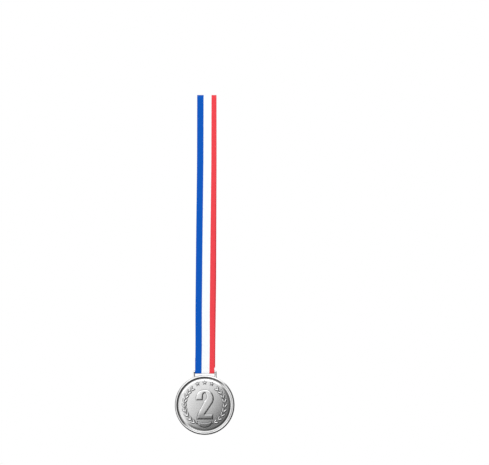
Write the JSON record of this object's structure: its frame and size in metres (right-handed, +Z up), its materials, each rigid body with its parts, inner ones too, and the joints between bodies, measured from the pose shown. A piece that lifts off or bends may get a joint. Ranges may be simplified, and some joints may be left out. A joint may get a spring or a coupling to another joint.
{
  "type": "sports award medal",
  "caption": "Round silver-coloured sports medal with a raised numeral, laurel wreath and stars, hanging from a folded striped neck ribbon.",
  "frame": {"origin": "the axis of the rail or peg that the folded ribbon hangs over, at the middle of the ribbon's width", "axes": "+X along the rail, to the right of someone who looks at the medal's face; +Z up, along the hanging ribbon; the face looks towards -Y"},
  "size_m": [0.065, 0.0094, 0.37],
  "materials": {
    "medal_silver": "antique silver plate on a zinc casting: polished rim, fine satin field, darker in the recesses",
    "ribbon": "woven polyester ribbon, fine cross ribs, three lengthwise stripes: blue, white and red",
    "thread": "white polyester sewing thread"
  },
  "bodies": {
    "ribbon_top": {"ribbon_rail_fold": "ribbon", "ribbon_shoulders": "ribbon"},
    "ribbon_span": {"ribbon_front_leg": "ribbon", "ribbon_back_leg": "ribbon"},
    "ribbon_foot": {"ribbon_front_tail": "ribbon", "ribbon_bar_fold": "ribbon", "ribbon_inner_end": "ribbon", "ribbon_outer_end": "ribbon", "seam_stitches": "thread"},
    "medal": {"medal_casting": "medal_silver"}
  },
  "joints": [
    {"name": "ribbon_swing", "type": "hinge", "parent": "ribbon_top", "child": "ribbon_span", "pos_m": [0, 0, 0], "axis": [1, 0, 0], "range_deg": [-60, 60], "deforming": ["ribbon_shoulders"]},
    {"name": "ribbon_twist", "type": "hinge", "parent": "ribbon_span", "child": "ribbon_foot", "pos_m": [0, 0, -0.272], "axis": [0, 0, 1], "range_deg": [-180, 180], "stiffness_Nm_per_rad": 0.00009},
    {"name": "medal_tilt", "type": "hinge", "parent": "ribbon_foot", "child": "medal", "pos_m": [0, 0, -0.2969], "axis": [1, 0, 0], "range_deg": [-115, 115]}
  ]
}
